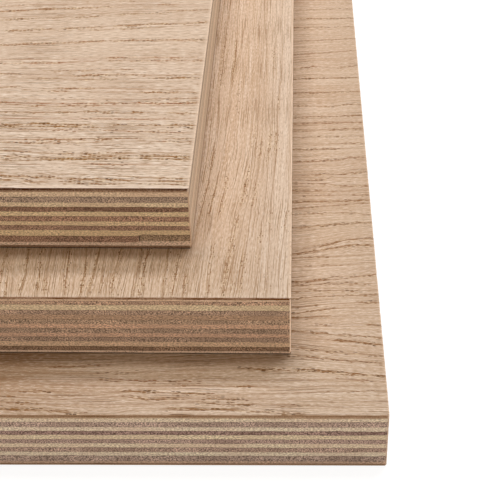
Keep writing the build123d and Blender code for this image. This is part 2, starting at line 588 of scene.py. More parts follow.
def foldEdge(count, rows, lanes, box, order, leftward=False):  # an edge all round, folded into lanes
    perLane = math.ceil(count / lanes)
    used = 0.9  # of a lane, the rest keeps it apart from the next one
    places = []
    for row in range(rows):
        for i in range(count):
            lane, start = divmod(i, perLane)
            if leftward:
                start = perLane - 1 - start
            low, high = ((lane + used * r / rows) / lanes for r in (row, row + 1))
            left, right = start / perLane, (start + 1) / perLane
            corners = [(left, low), (right, low), (right, high), (left, high)]
            places += [inBox(box, *corners[c]) for c in order]
    return places


def layMap(piece, places):
    layer = piece.data.uv_layers.new(name="OFBake")
    layer.uv.foreach_set("vector", [value for place in places for value in place])


def setValues(piece, name, kind, values):
    layer = piece.data.attributes.new(name, kind, "POINT")
    layer.data.foreach_set("value" if kind == "FLOAT" else "vector", values)


# painted sheen: how light each ply is painted on its right face
sideSheenShares = (0.68, 0.94, 1.0, 0.93, 0.9, 1.0, 1.02, 0.95, 0.88, 0.96, 0.82)
plyShape = {  # mm; relief is its depth, the share that is always there and the share that varies
    "pitch": 0.75, "rows": 2, "endRelief": (0.05, 0.6, 0.5), "longRelief": (0.02, 0.3, 0.7),
    "roughSize": 0.9, "roughSteps": (3.1, 1.7)}
plyMap = {
    "lanes": 24, "edge": (0.002, 0.002, 0.998, 0.86), "under": (0.01, 0.88, 0.11, 0.98),
    "over": (0.13, 0.88, 0.23, 0.98)}


def makePly(sheet, number, tint, grain, plan, strip=None):
    name = sheet["name"] + "_ply_%02d" % number + ("_" + strip if strip else "")
    joint = -butt["inset"]
    fromX = joint if strip == "right_strip" else None
    toX = joint - butt["slit"] if strip == "left_strip" else None
    path = walkOutline(sheetCorners(sheet, fromX, toX), plyShape["pitch"])
    rows, size = plyShape["rows"], plyShape["roughSize"]
    plyStep, rowStep = plyShape["roughSteps"]
    alongX = grain == "x"
    spots, heights = [], []
    for row in range(rows + 1):
        share = row / rows
        for spot, out, eased in path:
            low = lineHeight(sheet, number + 1, spot.x, spot.y)
            high = lineHeight(sheet, number, spot.x, spot.y)
            atEnd = abs(out.x if alongX else out.y) > 0.7
            rough = noise.noise(Vector((spot.x / size, spot.y / size, number * plyStep + row * rowStep)))
            relief, least, varied = plyShape["endRelief" if atEnd else "longRelief"]
            inner = spot - out * max(relief * (least + varied * rough), 0.0)
            spots.append(toPart(sheet, inner.x, inner.y, mix(low, high, share)))
            heights.append(share)
    count = len(path)
    faces, slots = [], []
    for row in range(rows):
        for i in range(count):
            j = (i + 1) % count
            faces.append((row * count + i, row * count + j, (row + 1) * count + j, (row + 1) * count + i))
            slots.append(1 if path[i][2] else 0)
    faces.append(tuple(reversed(range(count))))
    faces.append(tuple(rows * count + i for i in range(count)))
    slots += [0, 0]
    material = makePlyWood(name, {
        **plyLook, "grain": grain, "glue": 0.0 if alongX else plyLook["glue"], "greyness": plan["greyness"],
        "shift": number * plyLook["plyShift"] + len(sheet["name"]) * plyLook["sheetShift"],
        "thickness": (sheet["heights"][number] - sheet["heights"][number + 1]) / mm,
        "speckle": plyLook["stripSpeckle" if strip == "right_strip" else "speckle"],
        "long": tint if alongX else tinted(tint, plyLook["longOfEnd"]),
        "end": tinted(tint, plyLook["endOfLong"]) if alongX else tint, "sideSheenShare": sideSheenShares[number - 1]})
    piece = newPiece("look_" + name, spots, faces, [material, sheet["sandedHighlight"]], slots)
    flat = [(1 + spot.x / sheet["length"], spot.y / sheet["depth"]) for spot, out, eased in path]
    places = foldEdge(count, rows, plyMap["lanes"], plyMap["edge"], (0, 1, 2, 3))
    places += [inBox(plyMap["under"], *place) for place in reversed(flat)]
    layMap(piece, places + [inBox(plyMap["over"], *place) for place in flat])
    setValues(piece, "layerHeight", "FLOAT", heights)
    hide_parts(name)
    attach(piece, "root")
    return piece


# figure of a veneer: the line of each ring, as places along and across the grain, and the runs on
# which its pores stand open, as from, to and strength. What the photo hides is filled by chance.

ringWaver = [(0.3, 19, 5.3, 1.0), (0.16, 5, 7.9, 2.0)]  # width and length of a wave in mm, step, row
chanceWaver = [(2.0, 80, 0.3, 3.0)]
chanceRuns = {"before": (0, 40), "length": (20, 130), "strength": (0.2, 0.9), "gap": (2, 20)}
leastGap = 0.45  # mm between two rings


def pathAt(path, along):
    if along <= path[0][0]:
        return path[0][1]
    for (start, low), (end, high) in zip(path, path[1:]):
        if along <= end:
            return mix(low, high, (along - start) / (end - start))
    return path[-1][1]


def fillFigure(figure, low, high, span, seed):
    dice = random.Random(seed)
    rings = [{"path": path, "runs": list(runs), "russet": russet, "seen": (path[0][0], path[-1][0])}
             for path, runs, russet in figure["rings"]]
    near, far = figure["spacing"]

    def chanceRing(place):
        return {"path": [(0, place)], "runs": [], "russet": dice.random(), "seen": (0, 0)}

    while rings[0]["path"][0][1] > low:
        rings.insert(0, chanceRing(rings[0]["path"][0][1] - dice.uniform(near, far)))
    while rings[-1]["path"][0][1] < high:
        rings.append(chanceRing(rings[-1]["path"][0][1] + dice.uniform(near, far)))
    for ring in rings:
        start = span[0] - dice.uniform(*chanceRuns["before"])
        while start < span[1]:
            end = start + dice.uniform(*chanceRuns["length"])
            if end < ring["seen"][0] or start > ring["seen"][1] or ring["seen"] == (0, 0):
                ring["runs"].append((start, end, dice.uniform(*chanceRuns["strength"])))
            start = end + dice.uniform(*chanceRuns["gap"])
    return rings


def runStrength(runs, along):
    soft = 1.5  # mm on either side of an end, over which a run fades
    return max((strength * smooth(start - soft, start + soft, along) * smooth(end + soft, end - soft, along)
                for start, end, strength in runs), default=0.0)


def lineUp(rings, along):  # where every ring's line lies at one place along the grain, with its waver
    places = []

    def waver(waves, number):
        return sum(wide * noise.noise(Vector((along / size, number * step, row)))
                   for wide, size, step, row in waves)

    for number, ring in enumerate(rings):
        place = pathAt(ring["path"], along) + waver(ringWaver, number)
        if len(ring["path"]) == 1:
            place += waver(chanceWaver, number)
        places.append(place if not places else max(place, places[-1] + leastGap))
    return places


veneerShape = {  # mm
    "facePitch": (2.0, 0.8), "backPitch": (6.0, 2.0), "corner": 0.18, "margin": 1.0, "beyond": 15,
    "sunk": 0.025, "sunkReach": (0.9, 0.2), "edgeShares": (1.0, 0.75, 0.4, 0.0),
    "tornSize": 1.7, "tornFrom": 0.2, "torn": 0.25, "tornShift": 4.2, "rimSize": 2.3, "rimWaver": 0.5,
    "frontHighlight": (1.6, 0.2), "sideWear": (1.1, 0.4), "bareFront": 1.0, "bareSides": 0.4}
veneerMap = {
    "lanes": 6, "face": (0.002, 0.002, 0.998, 0.84), "edge": (0.002, 0.85, 0.85, 0.998),
    "glued": (0.87, 0.86, 0.99, 0.98)}


def makeVeneer(sheet, figure, faceMaterial, edgeMaterial, faceUp, seed):
    shape = veneerShape
    name = sheet["name"] + ("_face_veneer" if faceUp else "_back_veneer")
    length, depth, ease = sheet["length"], sheet["depth"], sheet["ease"]
    rim, drop = figure["faceEase" if faceUp else "backEase"]  # how far in and how high the eased rim is
    byX = figure["grain"] == "x"
    pitch = shape["facePitch" if faceUp else "backPitch"]  # along and across the grain
    pitchX, pitchY = pitch if byX else reversed(pitch)
    beyond = shape["beyond"]
    if byX:
        span, reach = (-length, 0), (-beyond, depth + beyond)
    else:
        span, reach = (0, depth), (-length - beyond, beyond)
    rings = fillFigure(figure, *reach, span, seed)
    rest = [sum(c for _, c in ring["path"]) / len(ring["path"]) for ring in rings]
    lineUps = {}
    top = sheet["heights"][0 if faceUp else -1]
    inward = -1 if faceUp else 1
    spots, place, look, height, wear, flat = [], [], [], [], [], []

    def addSpot(x, y, z, share, gridX, gridY, bare=0.0):  # also notes how the figure runs at this spot
        along, across = (gridX, gridY) if byX else (gridY, gridX)
        if along not in lineUps:
            lineUps[along] = lineUp(rings, along), [runStrength(ring["runs"], along) for ring in rings]
        lines, strengths = lineUps[along]
        k = min(max(bisect_right(lines, across) - 1, 0), len(lines) - 2)
        gap = lines[k + 1] - lines[k]
        part = (across - lines[k]) / gap
        nearest = k if part < 0.5 else k + 1
        if z is None:
            sunk = shape["sunk"] * strengths[nearest] * smooth(*shape["sunkReach"], min(part, 1 - part) * gap)
            z = top + inward * sunk * mm
        spots.append(toPart(sheet, x, y, z))
        place.extend((along, mix(rest[k], rest[k + 1], part), k + 0.5 + part))
        look.extend((strengths[nearest], rings[nearest]["russet"], gap))
        height.append(share)
        flatX, flatY = (1 - gridY / depth, 1 + gridX / length) if byX else (1 + gridX / length, gridY / depth)
        flat.append((flatX if faceUp else 1 - flatX, flatY))
        fromSides = min(-gridX, gridX + length, depth - gridY)
        # first a painted highlight near the front arris, then rubbed sides, then bare rim
        wear.extend((smooth(*shape["frontHighlight"], gridY), smooth(*shape["sideWear"], fromSides), bare))
        return len(spots) - 1

    def gridLines(low, high, pitch):
        corner, margin = shape["corner"], shape["margin"]
        inner = steps(low + margin, high - margin, pitch)[1:]
        return [low, low + corner, low + margin] + inner + [high - margin, high - corner, high]

    xs = gridLines(-length + rim, -rim, pitchX)
    ys = gridLines(rim, depth - rim, pitchY)
    lastX, lastY = len(xs) - 1, len(ys) - 1
    index = {}
    for j, y in enumerate(ys):
        for i, x in enumerate(xs):
            if i in (0, lastX) and j in (0, lastY):
                continue
            index[i, j] = addSpot(x, y, None, 1.0 if faceUp else 0.0, x, y)

    faces, slots = [], []
    for j in range(lastY):
        for i in range(lastX):
            ring = [index[c] for c in ((i, j), (i + 1, j), (i + 1, j + 1), (i, j + 1)) if c in index]
            faces.append(tuple(ring if faceUp else reversed(ring)))
            slots.append(0)
    gridCount = len(faces)

    border = [(i, 0) for i in range(1, lastX)] + [(lastX, j) for j in range(1, lastY)]
    border += [(i, lastY) for i in range(lastX - 1, 0, -1)] + [(0, j) for j in range(lastY - 1, 0, -1)]
    previous = [index[c] for c in border]
    line = 1 if faceUp else len(layerNames) - 1  # line between this veneer and the core
    rows = len(shape["edgeShares"])
    tornSize, rimSize = shape["tornSize"], shape["rimSize"]
    for row, share in enumerate(shape["edgeShares"]):
        ringNow = []
        for i, j in border:
            x, y = xs[i], ys[j]
            if j in (0, lastY):
                x = min(max(x, -length + ease), -ease)
                y, out = (0.0, Vector((0, -1))) if j == 0 else (depth, Vector((0, 1)))
            else:
                y = min(max(y, ease), depth - ease)
                x, out = (0.0, Vector((1, 0))) if i == lastX else (-length, Vector((-1, 0)))
            tear = noise.noise(Vector((x / tornSize, y / tornSize, seed + shape["tornShift"])))
            torn = max(0.0, tear - shape["tornFrom"]) * shape["torn"]
            spot = Vector((x, y)) - out * torn * (1 - row / rows)
            waver = noise.noise(Vector((x / rimSize, y / rimSize, seed)))
            outer = top + inward * drop * mm * (1.0 + shape["rimWaver"] * waver)
            z = mix(lineHeight(sheet, line, x, y), outer, share)
            bare = shape["bareFront" if j == 0 else "bareSides"]
            ringNow.append(addSpot(spot.x, spot.y, z, share if faceUp else 1 - share, xs[i], ys[j], bare))
        for i in range(len(border)):
            n = (i + 1) % len(border)
            quad = (previous[i], ringNow[i], ringNow[n], previous[n])
            faces.append(quad if faceUp else tuple(reversed(quad)))
            slots.append(0 if row == 0 and faceUp else 1)
        previous = ringNow
    faces.append(tuple(reversed(previous)) if faceUp else tuple(previous))
    slots.append(1)

    piece = newPiece("look_" + name, spots, faces, [faceMaterial, edgeMaterial], slots)
    piece.data.polygons.foreach_set("use_smooth", [n < gridCount for n in range(len(faces))])
    places = [inBox(veneerMap["face"], *flat[n]) for ring in faces[:gridCount] for n in ring]
    places += foldEdge(len(border), rows, veneerMap["lanes"], veneerMap["edge"], (1, 2, 3, 0), faceUp)
    layMap(piece, places + [inBox(veneerMap["glued"], *flat[n]) for n in faces[-1]])
    setValues(piece, "grainPlace", "FLOAT_VECTOR", place)
    setValues(piece, "grainLook", "FLOAT_VECTOR", look)
    setValues(piece, "layerHeight", "FLOAT", height)
    setValues(piece, "rimWearAndHighlight", "FLOAT_VECTOR", wear)
    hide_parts(name)
    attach(piece, "root")
    return piece


# top sheet: grain from left to right, fanning out towards the back

topFigure = {
    "grain": "x", "faceEase": (0.2, 0.12), "backEase": (0.3, 0.06), "spacing": (6, 10.5), "rings": [
    ([(-68, 2.2), (-45, 3.5), (-38, 2.6), (-31, 2.4), (-8, 2.2), (0, 1.8)],
     [(-47, -43, 0.6), (-42, -37, 0.7), (-31, 2, 0.8)], 0.3),
    ([(-68, 6.6), (-47, 5.4), (-34, 4.5), (-29, 3.6), (-22, 3.8), (-8, 3.0), (0, 2.9)],
     [(-48, -33, 0.7), (-30, -14, 0.6), (-8, 2, 0.8)], 0.3),
    ([(-68, 8.0), (-40, 6.5), (-17, 5.1), (0, 4.2)], [(-17, -12, 0.5), (-8, 2, 0.5)], 0.2),
    ([(-68, 11.0), (-28, 10.9), (-18, 10.4), (0, 10.2)], [(-29, -17, 0.35)], 0.6),
    ([(-68, 12.8), (-42, 12.4), (-37, 12.9), (-20, 13.4), (0, 13.1)],
     [(-50, -41, 0.5), (-38, -30, 1.0), (-30, -16, 0.7), (-15, 2, 0.7)], 0.1),
    ([(-68, 14.8), (-49, 14.3), (-40, 13.6), (-14, 14.4), (0, 14.0)],
     [(-49, -38, 0.35), (-31, -16, 0.6), (-14, 2, 0.9)], 0.2),
    ([(-68, 16.8), (-44, 16.4), (-36, 15.3), (-27, 15.7), (0, 15.6)],
     [(-50, -43, 0.4), (-37, -30, 0.5), (-28, -16, 0.4)], 0.3),
    ([(-68, 20.6), (-50, 21.2), (-44, 20.8), (-28, 21.0), (-19, 21.8), (0, 21.3)],
     [(-51, -46, 0.6), (-45, -37, 0.8), (-37, -28, 0.4), (-9, -3, 0.6), (-2, 2, 0.6)], 0.5),
    ([(-68, 22.0), (-44, 22.0), (-27, 22.1), (-19, 22.8), (0, 22.8)],
     [(-44, -28, 0.4), (-27, -18, 0.8), (-18, -11, 0.5), (-9, 0, 0.4)], 0.5),
    ([(-68, 26.8), (-43, 27.3), (-30, 27.1), (-5, 25.6), (0, 25.4)], [(-46, -2, 0.35)], 0.6),
    ([(-68, 28.2), (-49, 28.4), (-41, 28.9), (-27, 28.6), (0, 28.6)],
     [(-60, -48, 0.9), (-42, -24, 0.9), (-8, 2, 0.7)], 0.15),
    ([(-68, 30.0), (-46, 29.2), (-43, 30.1), (-27, 29.2), (0, 29.2)],
     [(-52, -45, 0.6), (-44, -27, 0.95), (-23, -8, 0.7), (-8, 2, 0.6)], 0.2),
    ([(-68, 33.0), (-30, 32.8), (-15, 32.3), (0, 33.1)], [(-31, -4, 0.3)], 0.9),
    ([(-68, 36.4), (-37, 36.0), (-30, 36.3), (-16, 35.8), (0, 35.5)],
     [(-52, -40, 0.25), (-38, -34, 0.9), (-31, -21, 0.5), (-18, -14, 0.6), (-8, 2, 0.6)], 0.3),
    ([(-68, 39.0), (-50, 40.1), (-38, 39.1), (-18, 39.4), (0, 39.8)],
     [(-50, -42, 0.5), (-39, -27, 0.45)], 0.7),
    ([(-68, 41.6), (-50, 41.0), (-38, 40.3), (-20, 40.8), (-10, 40.4), (0, 40.9)],
     [(-60, -49, 0.95), (-44, -40, 0.6), (-38, -20, 0.5), (-18, 2, 0.9)], 0.85),
    ([(-68, 43.0), (-40, 42.4), (-25, 43.0), (-15, 42.6), (0, 43.4)],
     [(-40, -25, 0.2), (-15, 2, 0.3)], 0.6),
    ([(-68, 48.0), (-51, 48.9), (-36, 47.0), (-12, 46.5), (0, 46.9)],
     [(-44, -36, 0.5), (-16, -6, 0.7), (-5, 2, 0.6)], 0.5),
    ([(-68, 50.0), (-40, 48.2), (-30, 48.8), (0, 48.2)], [(-57, -50, 0.35), (-41, -29, 0.6)], 0.5),
    ([(-68, 54.0), (-40, 54.5), (-33, 53.6), (-14, 54.6), (0, 55.0)],
     [(-46, -40, 0.35), (-34, -24, 0.5), (-15, 2, 0.95)], 0.2),
    ([(-68, 57.4), (-52, 57.0), (-35, 55.5), (-30, 56.2), (0, 56.0)],
     [(-60, -51, 0.6), (-36, -26, 0.85), (-26, -15, 0.4), (-10, 2, 0.3)], 0.5),
    ([(-68, 58.6), (-45, 58.5), (-22, 59.3), (0, 59.6)], [(-45, -20, 0.3)], 0.5),
    ([(-68, 63.0), (-40, 63.4), (-27, 64.6), (0, 64.4)],
     [(-60, -40, 0.6), (-28, -6, 0.75), (-4, 2, 1.0)], 0.95),
    ([(-68, 65.0), (-40, 65.1), (-27, 66.0), (0, 65.8)],
     [(-60, -40, 0.3), (-28, -6, 0.7), (-4, 2, 0.8)], 0.95),
    ([(-68, 73.2), (-48, 75.0), (-38, 75.5), (-33, 76.2), (-20, 76.8), (0, 76.9)],
     [(-62, -39, 0.95), (-38, -30, 0.9), (-28, 2, 0.8)], 0.6),
    ([(-68, 80.8), (-35, 83.3), (-18, 84.9), (0, 86.0)], [(-36, -17, 0.4)], 0.4),
    ([(-68, 82.0), (-58, 83.0), (-36, 84.8), (-20, 86.6), (0, 88.0)],
     [(-62, -46, 0.8), (-44, -33, 0.8), (-28, -10, 0.8), (-8, 2, 0.8)], 0.3),
    ([(-68, 89.5), (-53, 91.1), (-36, 91.8), (-27, 93.8), (0, 95.3)],
     [(-66, -53, 0.8), (-50, -45, 0.5), (-42, -34, 0.8), (-28, -12, 0.6)], 0.2),
    ([(-68, 91.5), (-45, 92.6), (-27, 94.9), (0, 96.2)], [(-14, 2, 0.6)], 0.4),
    ([(-68, 95.2), (-50, 97.2), (-30, 98.6), (0, 99.0)], [(-66, -30, 0.8)], 0.5),
    ([(-68, 98.5), (-55, 100.2), (-12, 99.7), (0, 100.2)], [(-66, -55, 0.4), (-16, -11, 1.0)], 0.8),
    ([(-68, 101.0), (-25, 102.2), (0, 102.6)], [(-40, -24, 0.3)], 0.5)]}

# middle sheet: turned a quarter, so its grain runs front to back, fanning out and then upright

middleFigure = {
    "grain": "y", "faceEase": (0.2, 0.2), "backEase": (0.3, 0.06), "spacing": (2.5, 6), "rings": [
    ([(0, -69.0), (4, -69.8), (20, -72.4)], [(-2, 22, 0.6)], 0.4),
    ([(0, -66.0), (10, -65.9), (20, -66.6)], [(-2, 22, 0.5)], 0.1),
    ([(0, -61.6), (10, -62.6), (20, -63.2)], [(2, 22, 0.7)], 0.2),
    ([(0, -60.0), (20, -60.6)], [(0, 8, 0.5)], 0.5),
    ([(0, -55.0), (20, -56.3)], [(-2, 22, 0.6)], 0.7),
    ([(0, -51.3), (10, -51.0), (20, -52.0)], [(0, 16, 0.7)], 0.5),
    ([(0, -49.4), (20, -48.6)], [(-2, 22, 0.5)], 0.1),
    ([(0, -46.4), (20, -47.4)], [(2, 12, 0.5)], 0.4),
    ([(0, -43.4), (6, -43.8), (20, -42.7)], [(-2, 10, 0.8), (12, 22, 0.5)], 0.4),
    ([(0, -41.8), (20, -40.6)], [(-2, 8, 0.4)], 0.5),
    ([(0, -38.0), (20, -38.0)], [(0, 6, 0.3), (12, 22, 0.4)], 0.3),
    ([(0, -36.7), (10, -36.8), (20, -35.9)], [(-2, 22, 0.75)], 0.7),
    ([(0, -30.9), (20, -31.0)], [(-2, 22, 0.5)], 0.2),
    ([(0, -28.8), (18, -27.8), (30, -26.8)], [(-2, 22, 0.85)], 0.5),
    ([(0, -26.2), (10, -26.0), (20, -25.0), (45, -23.2), (65, -21.8), (160, -21.5)],
     [(-2, 10, 0.5), (30, 52, 0.6), (55, 68, 0.6), (100, 135, 0.4)], 0.5),
    ([(0, -22.5), (36, -21.3), (66, -19.5), (85, -18.4), (118, -18.1), (160, -18.3)],
     [(34, 50, 0.6), (104, 132, 0.7)], 0.1),
    ([(0, -20.2), (22, -19.8), (48, -17.9), (66, -16.6), (160, -16.2)],
     [(-2, 22, 0.5), (34, 54, 0.6), (80, 110, 0.3)], 0.6),
    ([(0, -16.7), (15, -15.7), (28, -14.6), (41, -13.1), (57, -11.6), (90, -10.8), (160, -10.8)],
     [(-2, 22, 1.0), (22, 34, 0.7), (38, 57, 0.9), (64, 80, 0.5)], 0.7),
    ([(0, -14.8), (20, -13.6), (41, -11.8), (57, -10.4), (160, -9.6)], [(1, 6, 0.6), (66, 76, 0.4)], 0.3),
    ([(0, -12.9), (16, -11.8), (42, -10.2), (66, -8.9), (160, -8.2)],
     [(0, 18, 0.6), (38, 50, 0.7), (60, 72, 0.8)], 0.6),
    ([(0, -9.0), (23, -7.9), (45, -7.1), (63, -6.8), (73, -6.0), (160, -5.6)],
     [(14, 28, 0.5), (60, 75, 0.8), (110, 130, 0.4)], 0.2),
    ([(0, -6.2), (28, -5.6), (68, -4.4), (160, -3.8)],
     [(0, 12, 0.3), (26, 38, 0.45), (64, 76, 0.6), (88, 96, 0.6)], 0.5),
    ([(0, -3.0), (28, -1.7), (40, -0.8), (160, 0.0)], [(26, 40, 0.5)], 0.4)]}

# bottom sheet: grain from left to right in low waves, with a flat-sawn patch at the front

bottomFigure = {
    "grain": "x", "faceEase": (0.24, 0.25), "backEase": (0.2, 0.27), "spacing": (4.5, 10), "rings": [
    ([(-95, 2.4), (-83, 1.8), (-72, 0.2), (-52, 2.0), (-35, 1.6), (-20, 0.3), (0, -0.5)],
     [(-95, -72, 0.9), (-52, -20, 0.8)], 0.4),
    ([(-95, 4.6), (-70, 3.2), (-45, 4.1), (-34, 3.3), (0, 2.6)],
     [(-93, -84, 0.6), (-45, -32, 0.9), (-25, -19, 0.4)], 0.5),
    ([(-95, 6.4), (-78, 5.2), (-63, 6.6), (-58, 5.4), (-44, 5.6), (0, 4.6)],
     [(-93, -90, 0.6), (-63, -48, 0.7), (-44, -35, 0.95)], 0.6),
    ([(-95, 8.2), (-70, 7.4), (-61, 8.2), (-40, 6.8), (0, 8.2)],
     [(-88, -80, 0.5), (-64, -54, 0.8), (-53, -42, 0.8), (-15, 2, 0.2)], 0.5),
    ([(-95, 10.5), (-51, 9.9), (-33, 9.8), (0, 9.6)], [(-51, -48, 0.5), (-37, -32, 0.9)], 0.6),
    ([(-95, 12.5), (-72, 12.5), (-57, 11.4), (-12, 12.1), (0, 11.5)],
     [(-70, -45, 0.65), (-12, -4, 0.4)], 0.9),
    ([(-95, 15.0), (-70, 14.2), (-35, 16.2), (-18, 15.5), (-6, 13.9), (0, 13.3)],
     [(-72, -60, 0.45), (-36, 2, 0.9)], 0.5),
    ([(-95, 17.5), (-80, 16.6), (-35, 20.0), (-22, 20.8), (-12, 19.3), (0, 18.0)],
     [(-85, -70, 0.4), (-24, 2, 0.65)], 0.7),
    ([(-95, 21.0), (-22, 24.0), (-10, 22.0), (0, 21.0)], [(-22, 2, 0.35)], 0.5),
    ([(-95, 25.0), (-22, 28.0), (-6, 26.0), (0, 24.8)], [(-13, 2, 0.85)], 0.6),
    ([(-22, 30.5), (-14, 29.2), (0, 27.6)], [(-24, 2, 0.6)], 0.4),
    ([(-22, 33.0), (-5, 33.0), (0, 32.5)], [(-18, -11, 0.45), (-5, 2, 0.8)], 0.6),
    ([(-22, 35.5), (0, 37.0)], [(-24, -14, 0.5)], 0.4),
    ([(-22, 37.2), (-12, 39.5), (0, 39.8)], [(-24, -12, 0.7)], 0.5),
    ([(-22, 39.8), (-14, 41.2), (0, 42.0)], [(-24, -14, 0.4), (-6, 2, 0.9)], 0.5),
    ([(-22, 43.0), (-14, 44.5), (0, 45.0)], [(-24, 2, 0.4)], 0.4),
    ([(-22, 46.5), (-5, 46.4), (0, 47.0)], [(-24, -4, 0.5)], 0.3),
    ([(-22, 48.7), (-14, 49.7), (0, 50.0)], [(-24, -3, 0.5)], 0.4),
    ([(-22, 50.2), (-8, 52.5), (0, 53.5)], [(-24, 2, 0.65)], 0.7),
    ([(-22, 57.0), (0, 59.0)], [(-20, -8, 0.25)], 0.5),
    ([(-22, 61.0), (0, 62.5)], [(-24, -13, 0.5)], 0.3),
    ([(-22, 62.6), (-12, 65.4), (-6, 66.8), (0, 66.8)], [(-24, 2, 0.85)], 0.5),
    ([(-22, 64.5), (-15, 66.3), (-8, 69.0), (0, 69.6)], [(-16, 2, 0.7)], 0.4),
    ([(-22, 75.0), (-12, 76.3), (0, 77.5)], [(-24, 2, 0.8)], 0.3),
    ([(-22, 81.5), (-8, 82.4), (0, 81.2)], [(-24, -12, 0.6), (-8, 2, 0.5)], 0.5),
    ([(-22, 84.6), (0, 87.0)], [(-24, 2, 0.4)], 0.5),
    ([(-22, 88.0), (0, 88.6)], [(-24, 2, 0.7)], 0.4),
    ([(-22, 91.0), (0, 91.3)], [(-24, -8, 0.3), (-6, 2, 0.7)], 0.7),
    ([(-22, 93.6), (-12, 93.1), (0, 94.0)], [(-24, -11, 0.5)], 0.5),
    ([(-22, 97.3), (-12, 97.2), (-9, 95.8), (0, 96.0)], [(-24, -12, 0.6), (-10, 2, 0.7)], 0.6),
    ([(-22, 99.5), (-14, 98.8), (-11, 100.5), (0, 100.5)], [(-18, -11, 0.6)], 0.5),
    ([(-22, 101.5), (-14, 102.0), (-10, 101.6), (0, 103.4)], [(-19, 2, 0.7)], 0.5),
    ([(-22, 108.7), (-8, 110.0), (-5, 111.3), (0, 111.0)], [(-24, -9, 0.9), (-8, 2, 0.6)], 0.8),
    ([(-22, 116.0), (0, 116.5)], [(-24, -8, 0.7)], 0.3),
    ([(-22, 118.5), (0, 119.4)], [(-8, 2, 0.5)], 0.6),
    ([(-22, 122.6), (0, 123.5)], [(-24, 2, 0.4)], 0.4),
    ([(-22, 126.5), (0, 128.1)], [(-24, -16, 0.5), (-11, 2, 0.8)], 0.7),
    ([(-22, 131.0), (0, 131.8)], [(-24, 2, 0.6)], 0.9),
    ([(-22, 134.8), (0, 136.0)], [(-24, 2, 0.7)], 0.5),
    ([(-22, 142.0), (-10, 141.6), (-5, 143.0), (0, 142.5)], [(-24, 2, 0.5)], 0.3),
    ([(-22, 150.0), (0, 151.0)], [(-24, 2, 0.6)], 0.4),
    ([(-22, 159.5), (0, 160.3)], [(-24, 2, 0.7)], 0.3),
    ([(-22, 166.0), (-15, 168.0), (-8, 166.5), (0, 168.5)], [(-24, -14, 0.7), (-6, 2, 0.8)], 0.8),
    ([(-22, 176.5), (0, 179.0)], [(-24, -8, 0.5), (-5, 2, 0.5)], 0.7),
    ([(-22, 186.0), (0, 188.0)], [(-24, 2, 0.4)], 0.5),
    ([(-22, 196.0), (0, 196.8)], [(-24, 2, 0.5)], 0.4),
    ([(-22, 203.0), (0, 203.2)], [(-24, 2, 0.6)], 0.4),
    ([(-22, 210.0), (0, 211.0)], [(-24, 2, 0.3)], 0.5)]}

